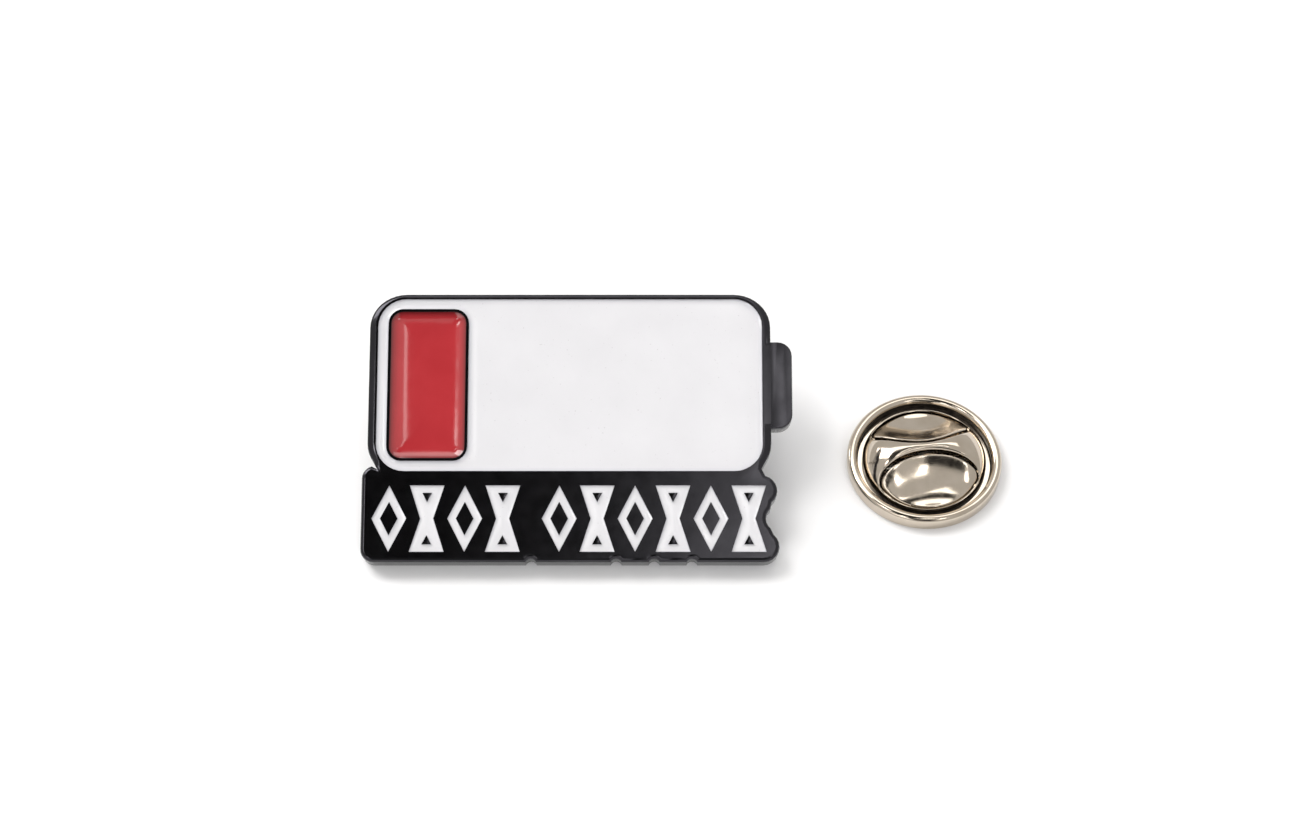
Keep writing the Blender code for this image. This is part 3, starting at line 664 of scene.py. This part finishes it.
def window(foot_gap=0.0, ridge_gap=0.0, turned_round=False, fine=4):
    """The front window's outline, moved inwards by a gap on its round side and one on its ridge side."""
    outer = window_radius - foot_gap
    inner = flare_radius - ridge_gap
    corner = window_corner - ridge_gap
    inner_y = -ridge_half - flare_radius
    corner_y = ((inner - corner) ** 2 - (outer - corner) ** 2 - inner_y ** 2) / (-2 * inner_y)
    corner_x = math.sqrt((outer - corner) ** 2 - corner_y ** 2)
    outer_deg = math.degrees(math.atan2(corner_y, corner_x))
    inner_deg = math.degrees(math.atan2(corner_y - inner_y, corner_x))
    points = (
        arc(0, 0, outer, -180 - outer_deg, outer_deg, 20 * fine)
        + arc(corner_x, corner_y, corner, outer_deg, inner_deg, 5 * fine)[1:]
        + arc(0, inner_y, inner, inner_deg, 180 - inner_deg, 12 * fine)[1:]
        + arc(-corner_x, corner_y, corner, 180 - inner_deg, 180 - outer_deg, 5 * fine)[1:-1]
    )
    if turned_round:
        return [(-x, -y) for x, y in points]
    return points


def half_ridge(x):
    """Half the ridge's width, which flares towards both ends."""
    return ridge_half + flare_radius - math.sqrt(max(flare_radius ** 2 - x ** 2, 0))


def down_slope(x, y):
    """0 at the ridge's side and 1 at the foot of the slope, softened so that no crease shows."""
    past = abs(y) - half_ridge(x)
    past = (past + math.hypot(past, slope_start)) / 2
    return min(past / (cap_radius - ridge_half), 1)


def tent(x, y):
    """The height of the sheet as if it had no windows: the ridge along the middle, the rest falling away."""
    share = min(math.hypot(x, y) / cap_radius, 1)
    peak = (ridge_height - cap_edge) * (1 - share ** ridge_end_fall)
    return cap_edge + peak * (1 - down_slope(x, y)) ** slope_bow


def cap_height(x, y):
    """The tent with its ridge rounded over."""
    across = min(abs(y) / max(half_ridge(x), sheet_thick), 1)
    return tent(x, y) - sheet_thick * across ** 2 / 2


def filled(loops, keep, spacing):
    """Triangles over loops of points and an even spread of points between them: points, triangles."""
    points = [p for loop in loops for p in loop]
    edges = []
    start = 0
    for loop in loops:
        edges += [(start + k, start + (k + 1) % len(loop)) for k in range(len(loop))]
        start += len(loop)
    edge_points = np.array(points)
    reach = float(np.abs(edge_points).max())
    row_gap = spacing * 0.866
    clear_of_edge = spacing * 0.6
    for row in range(int(2 * reach / row_gap) + 1):
        y = -reach + row * row_gap
        for column in range(int(2 * reach / spacing) + 1):
            x = -reach + (column + 0.5 * (row % 2)) * spacing
            if keep(x, y) and np.hypot(*(edge_points - (x, y)).T).min() > clear_of_edge:
                points.append((x, y))
    made = geometry.delaunay_2d_cdt([Vector(p) for p in points], edges, [], 0, 1e-9)
    corners, triangles = made[0], made[2]
    inside = []
    for triangle in triangles:
        x = sum(corners[i].x for i in triangle) / 3
        y = sum(corners[i].y for i in triangle) / 3
        if keep(x, y):
            inside.append(list(triangle))
    return [tuple(c) for c in corners], inside


def within(loop):
    """Says whether a point lies inside a loop."""
    xs, ys = np.array(loop).T
    xn, yn = np.roll(xs, -1), np.roll(ys, -1)

    def test(x, y):
        crosses = (ys > y) != (yn > y)
        with np.errstate(divide="ignore", invalid="ignore"):
            where = xs + (y - ys) * (xn - xs) / (yn - ys)
        return bool(np.count_nonzero(crosses & (x < where)) % 2)

    return test


def lip_steps(radius, steps=5):
    """How far in from an edge, and how far down, each step of a rounded lip is."""
    return [(radius * (1 - math.cos(math.radians(a))), radius * (1 - math.sin(math.radians(a))))
            for a in np.linspace(0, 90, steps + 1)]


def joined_edges(bm, upper, lower):
    """Closes the wall between an upper loop and a lower loop of vertices."""
    for k in range(len(upper)):
        bm.faces.new((upper[k - 1], upper[k], lower[k], lower[k - 1]))


def nearest(bm_verts, loop):
    """The vertices that stand on a loop's points."""
    places = np.array([v.co[:2] for v in bm_verts])
    return [bm_verts[int(np.hypot(*(places - p).T).argmin())] for p in loop]


def pressed(name, top_loops, top_drops, bottom_loops, walls, height, keep_top, keep_bottom, spacing):
    """A pressed sheet: a face on top with rounded lips, a plain face below, and walls that join them."""
    bm = bmesh.new()
    points, triangles = filled(top_loops, keep_top, spacing)
    flat = np.array([p for loop in top_loops for p in loop])
    drop = np.array([d for loop, d in zip(top_loops, top_drops) for _ in loop])
    top = []
    for x, y in points:
        gap = np.hypot(*(flat - (x, y)).T)
        fall = drop[int(gap.argmin())] if gap.min() < 1e-8 else 0
        top.append(bm.verts.new((x, y, height(x, y) - fall)))
    for triangle in triangles:
        bm.faces.new([top[i] for i in triangle])
    points, triangles = filled(bottom_loops, keep_bottom, spacing * 1.5)
    bottom = [bm.verts.new((x, y, height(x, y) - sheet_thick)) for x, y in points]
    for triangle in triangles:
        bm.faces.new([bottom[i] for i in reversed(triangle)])
    for upper, lower, skirt in walls:
        above = nearest(top, upper)
        for ring in skirt:
            below = [bm.verts.new(p) for p in ring]
            joined_edges(bm, above, below)
            above = below
        joined_edges(bm, above, nearest(bottom, lower))
    bmesh.ops.recalc_face_normals(bm, faces=bm.faces)
    mesh = bpy.data.meshes.new(name)
    bm.to_mesh(mesh)
    bm.free()
    piece = bpy.data.objects.new(name, mesh)
    bpy.context.scene.collection.objects.link(piece)
    return piece


front_window, rear_window = window(), window(turned_round=True)
in_front, in_rear = within(front_window), within(rear_window)
loops, drops = [], []
for reach, fall in lip_steps(lip):
    for round_about in (False, True):
        loops.append(window(-reach, -reach, round_about))
        drops.append(fall)
for reach, fall in lip_steps(shoulder):
    loops.append(arc(0, 0, cap_radius - reach, 0, 360, round_steps)[:-1])
    drops.append(fall)
outer_loop = arc(0, 0, cap_radius, 0, 360, round_steps)[:-1]
inner_loop = arc(0, 0, cap_inside_radius, 0, 360, round_steps)[:-1]
skirt = [[(x, y, cap_seat) for x, y in outer_loop], [(x, y, cap_seat) for x, y in inner_loop]]
cap = pressed(
    "clutch_cap", loops, drops, [front_window, rear_window, inner_loop],
    [(front_window, front_window, []), (rear_window, rear_window, []), (outer_loop, inner_loop, skirt)],
    cap_height,
    lambda x, y: math.hypot(x, y) < cap_radius and not in_front(x, y) and not in_rear(x, y),
    lambda x, y: math.hypot(x, y) < cap_inside_radius and not in_front(x, y) and not in_rear(x, y),
    net_spacing)
finished(cap, clutch_place, nickel, "clutch", "clutch_nickel", "clutch_bridge", sharp=50)
# Painted shade: the cap's rim where it drops into the groove gets the near-black nickel.
paint_groove_shade(cap, lambda r, z: r > cap_radius - wall_slack and z < cap_edge - shoulder)

# ---------------------------------------------------------------- clutch wings
# The butterfly's two finger scoops. A squeeze tips them inwards on their feet at the rim, which opens
# the spring below.
wing_foot_gap = 0.1 * mm
wing_slot = 0.3 * mm
wing_sunk = 0.05 * mm
wing_dish = 0.42 * mm


def wing_height(x, y):
    """The tent again, a little lower, with a scoop dished into its slope."""
    down = down_slope(x, y)
    scoop = wing_dish * 4 * down * (1 - down) * max(1 - (x / window_radius) ** 2, 0)
    return tent(x, y) - wing_sunk - scoop


for side in ("front", "rear"):
    back = side == "rear"
    outline = window(wing_foot_gap, wing_slot, back)
    inside = within(outline)
    steps = lip_steps(lip)
    wing = pressed(
        f"wing_{side}_scoop",
        [window(wing_foot_gap + reach, wing_slot + reach, back) for reach, fall in steps],
        [fall for reach, fall in steps], [outline], [(outline, outline, [])],
        wing_height, inside, inside, net_spacing)
    finished(wing, clutch_place, nickel, f"wing_{side}", "clutch_nickel", f"wing_{side}", sharp=50)

# ---------------------------------------------------------------- spring
# A hairpin of hard steel wire under the cap. Its closed end stays put, and its two legs grip the
# groove of the post from both sides.
wire_radius = 0.25 * mm
wire_height = 1.0 * mm
leg_offset = 0.65 * mm
bend_x = -3.0 * mm
leg_end_x = 3.2 * mm
joint_gap = 0.04 * mm
tip_angles = np.radians((20, 40, 60, 80))
wire_sides = 24


def spring_wire():
    """Drawn steel wire, with fine lines along it."""
    recipe = Recipe("spring_wire", Metallic=1.0)
    cloud = recipe.spread(recipe.noise(0.7 * mm, 4), 0, 1)
    recipe.feed("Base Color", recipe.blend(cloud, (0.33, 0.325, 0.31), (0.44, 0.43, 0.41)))
    recipe.feed("Roughness", recipe.spread(recipe.noise(0.2 * mm, 4), 0.2, 0.34))
    recipe.relief(recipe.noise(0.15 * mm, 2, (0.05, 1, 1)), 0.0015 * mm)
    return recipe.material


def wire(name, route, end_round):
    """Round wire along a route of points, its ends closed and rounded where asked."""
    bm = bmesh.new()
    route = [Vector(p) for p in route]
    rings = []
    for k, spot in enumerate(route):
        ahead = (route[min(k + 1, len(route) - 1)] - route[max(k - 1, 0)]).normalized()
        across = Vector((-ahead.y, ahead.x, 0))
        size = wire_radius * (1.0 if k < len(route) - len(end_round) else end_round[k - len(route)])
        rings.append([bm.verts.new(spot + across * size * math.cos(a) + Vector((0, 0, size * math.sin(a))))
                      for a in np.linspace(0, math.tau, wire_sides + 1)[:-1]])
    for first, second in zip(rings, rings[1:]):
        joined_edges(bm, first, second)
    bm.faces.new(rings[0])
    bm.faces.new(rings[-1])
    bmesh.ops.recalc_face_normals(bm, faces=bm.faces)
    mesh = bpy.data.meshes.new(name)
    bm.to_mesh(mesh)
    bm.free()
    piece = bpy.data.objects.new(name, mesh)
    bpy.context.scene.collection.objects.link(piece)
    return piece


steel = spring_wire()
bend_route = [(x, y, wire_height) for x, y in arc(bend_x, 0, leg_offset, 90, 270, 32)]
bend = wire("spring_closed_end", bend_route, [])
finished(bend, clutch_place, steel, "clutch", "spring_steel", "spring_bend")
for side, y in (("front", -leg_offset), ("rear", leg_offset)):
    straight = [(x, y, wire_height) for x in np.linspace(bend_x + joint_gap, leg_end_x - wire_radius, 13)]
    tip = [(leg_end_x - wire_radius * (1 - math.sin(a)), y, wire_height) for a in tip_angles]
    leg = wire(f"spring_leg_{side}_wire", straight + tip, [math.cos(a) for a in tip_angles])
    finished(leg, clutch_place, steel, f"leg_{side}", "spring_steel", f"spring_leg_{side}")

# ---------------------------------------------------------------- stage, light and camera
# A plain pale sheet, one big soft light high up behind the pin on the left, a dimmer one in front,
# and a pale room that the nickel and the enamel reflect.
bpy.ops.object.select_all(action="DESELECT")
bpy.ops.mesh.primitive_plane_add(size=1.6, location=(0, 0.2, 0))
floor = bpy.context.object
floor.name = "floor"
paper = Recipe("pale_paper", Roughness=0.9)
cloud = paper.spread(paper.noise(8 * mm), 0, 1)
paper.feed("Base Color", paper.blend(cloud, (0.86, 0.86, 0.87), (0.88, 0.88, 0.89)))
floor.data.materials.append(paper.material)


def soft_light(name, place, aim, width, height, watts, colour=(1, 1, 1)):
    """A rectangular soft box that faces a point."""
    data = bpy.data.lights.new(name, "AREA")
    data.shape = "RECTANGLE"
    data.size = width
    data.size_y = height
    data.energy = watts
    data.color = colour
    light = bpy.data.objects.new(name, data)
    light.location = place
    light.rotation_euler = (Vector(aim) - Vector(place)).to_track_quat("-Z", "Y").to_euler()
    bpy.context.scene.collection.objects.link(light)
    return light


soft_light("key", (-0.31, 0.20, 0.34), (0, 0, 0), 0.22, 0.46, 2.0, (1.0, 0.99, 0.98))
fill_light = soft_light("fill", (0.06, -0.34, 0.26), (0, 0, 0), 0.30, 0.20, 0.5, (0.97, 0.98, 1.0))
fill_light.visible_glossy = False

world = bpy.data.worlds.new("room")
bpy.context.scene.world = world
world.use_nodes = True
room = world.node_tree


def sum_of(operation, first, second, clamp=False):
    """One sum on two numbers or sockets of the room's nodes."""
    node = room.nodes.new("ShaderNodeMath")
    node.operation = operation
    node.use_clamp = clamp
    for socket, value in zip(node.inputs, (first, second)):
        if isinstance(value, (int, float)):
            socket.default_value = value
        else:
            room.links.new(value, socket)
    return node.outputs[0]


def edge_of(distance, softness):
    """From 0 to 1 as a distance grows past zero, over a soft edge."""
    return sum_of("ADD", sum_of("DIVIDE", distance, softness), 0.5, clamp=True)


def patch(left, right, near, far, softness, slant):
    """1 inside a four-sided patch overhead, placed by how far across and along it lies for one up."""
    upright = sum_of("SUBTRACT", across, sum_of("MULTIPLY", along, slant))
    inside = edge_of(sum_of("SUBTRACT", right, upright), softness)
    inside = sum_of("MULTIPLY", inside, edge_of(sum_of("SUBTRACT", upright, left), softness))
    inside = sum_of("MULTIPLY", inside, edge_of(sum_of("SUBTRACT", along, near), softness))
    return sum_of("MULTIPLY", inside, edge_of(sum_of("SUBTRACT", far, along), softness))


def laid_over(brightness, cover, level):
    """The brightness with a patch laid over it."""
    step = sum_of("MULTIPLY", cover, sum_of("SUBTRACT", level, brightness))
    return sum_of("ADD", brightness, step)


# what the pale room holds, each laid over the last: left, right, near and far edges, how soft its
# edges are, how far it slants, and how bright it is
room_brightness = 0.68
room_panels = {
    "dark canopy overhead": (-0.50, 0.145, -0.75, 0.22, 0.04, 0.45, 0.05),
    "lit slot beside the canopy": (0.146, 0.22, -0.30, -0.05, 0.02, 0.5, 3.4),
    "dark figure in front": (-0.40, 0.45, -2.60, -0.80, 0.05, 0.05, 0.03),
    "bright side at the left": (-1.20, -0.42, -2.10, -0.85, 0.06, 0.0, 2.0),
    "window at the left": (-0.66, -0.42, -0.42, -0.155, 0.03, 0.0, 2.2),
    "lamp in that window": (-0.60, -0.42, -0.30, -0.183, 0.02, 0.0, 9.0),
    "lamp in front, left": (-0.44, -0.30, -0.80, -0.64, 0.03, 0.0, 6.0),
    "lamp in front, right": (0.30, 0.46, -0.80, -0.60, 0.03, 0.0, 6.0),
    "bright wall behind": (-0.60, 0.55, 0.32, 0.75, 0.06, 0.0, 2.6),
}
direction = room.nodes.new("ShaderNodeSeparateXYZ")
room.links.new(room.nodes.new("ShaderNodeTexCoord").outputs["Generated"], direction.inputs["Vector"])
up = sum_of("MAXIMUM", direction.outputs["Z"], 0.02)
across = sum_of("DIVIDE", direction.outputs["X"], up)
along = sum_of("DIVIDE", direction.outputs["Y"], up)
level = room_brightness
for left, right, near, far, softness, slant, brightness in room_panels.values():
    level = laid_over(level, patch(left, right, near, far, softness, slant), brightness)
room.links.new(level, room.nodes["Background"].inputs["Strength"])
room.nodes["Background"].inputs["Color"].default_value = (1.0, 0.985, 0.96, 1)

elevation = math.radians(55.0)
aim = Vector((-2.3, 2.3, 3.0)) * mm
away = 202.6 * mm
camera = bpy.data.objects.new("camera", bpy.data.cameras.new("camera"))
camera.data.lens = 75
camera.data.sensor_width = 36
camera.data.clip_start = 0.01
camera.location = aim + away * Vector((0, -math.cos(elevation), math.sin(elevation)))
camera.rotation_euler = (math.pi / 2 - elevation, 0, 0)
bpy.context.scene.collection.objects.link(camera)
bpy.context.scene.camera = camera
bpy.context.scene.view_settings.view_transform = "Standard"
